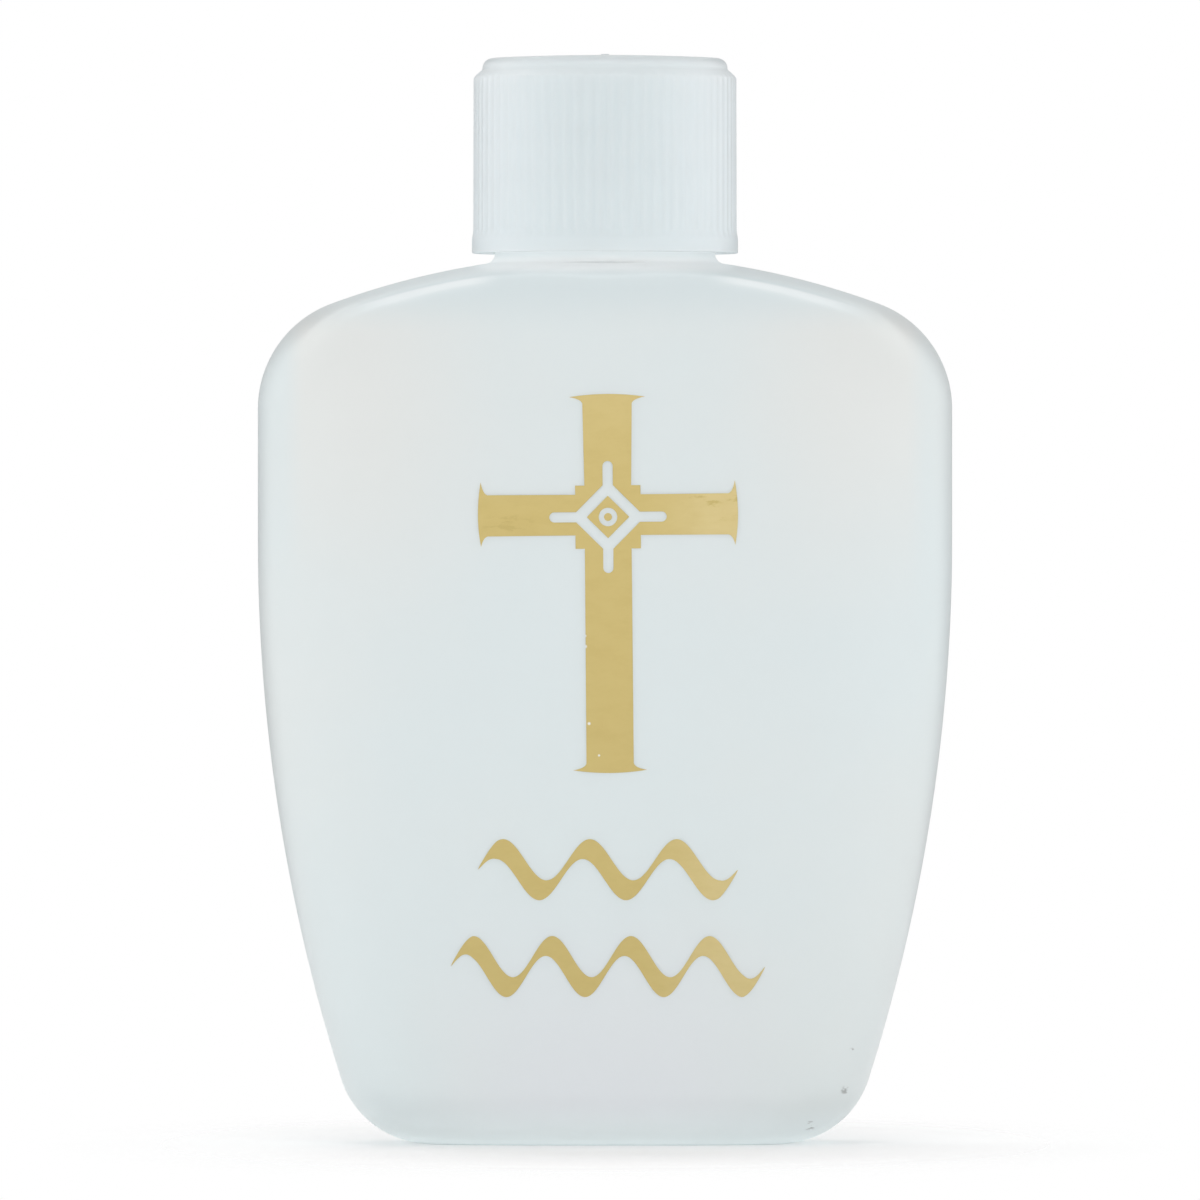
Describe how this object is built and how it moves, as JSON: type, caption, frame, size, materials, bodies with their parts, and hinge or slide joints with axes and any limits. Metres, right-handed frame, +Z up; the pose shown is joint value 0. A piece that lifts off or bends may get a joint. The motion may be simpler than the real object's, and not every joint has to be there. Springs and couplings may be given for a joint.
{
  "type": "holy water bottle",
  "caption": "Flat translucent plastic flask for holy water, with a rounded oblong body, a short threaded neck, a finely ribbed screw cap and a foam liner in the cap.",
  "frame": {"origin": "on the neck's axis, in the plane that the bottle stands on", "axes": "+Z up along the neck's axis, +X across the broad faces, the front face with the cross looks towards -Y"},
  "size_m": [0.0528, 0.025, 0.0826],
  "materials": {
    "bottle_plastic": "milky translucent low-density polyethylene, soft satin",
    "cap_plastic": "milky translucent moulded plastic, satin",
    "liner_foam": "white foamed polyethylene sheet",
    "gold_foil": "hot-stamped matt gold foil with fine rub marks"
  },
  "bodies": {
    "bottle": {"bottle": "bottle_plastic"},
    "liner": {"cap_liner": "liner_foam"},
    "cap": {"cap": "cap_plastic"}
  },
  "joints": [
    {"name": "cap_rise", "type": "slide", "parent": "bottle", "child": "liner", "axis": [0, 0, 1], "range_m": [0, 0.0286]},
    {"name": "cap_turn", "type": "hinge", "parent": "liner", "child": "cap", "pos_m": [0, 0, 0.075], "axis": [0, 0, 1], "range_deg": [0, 3240]}
  ],
  "couplings": [
    {"joint": "cap_rise", "follows": "cap_turn", "m_per_rad": 0.00050532}
  ]
}
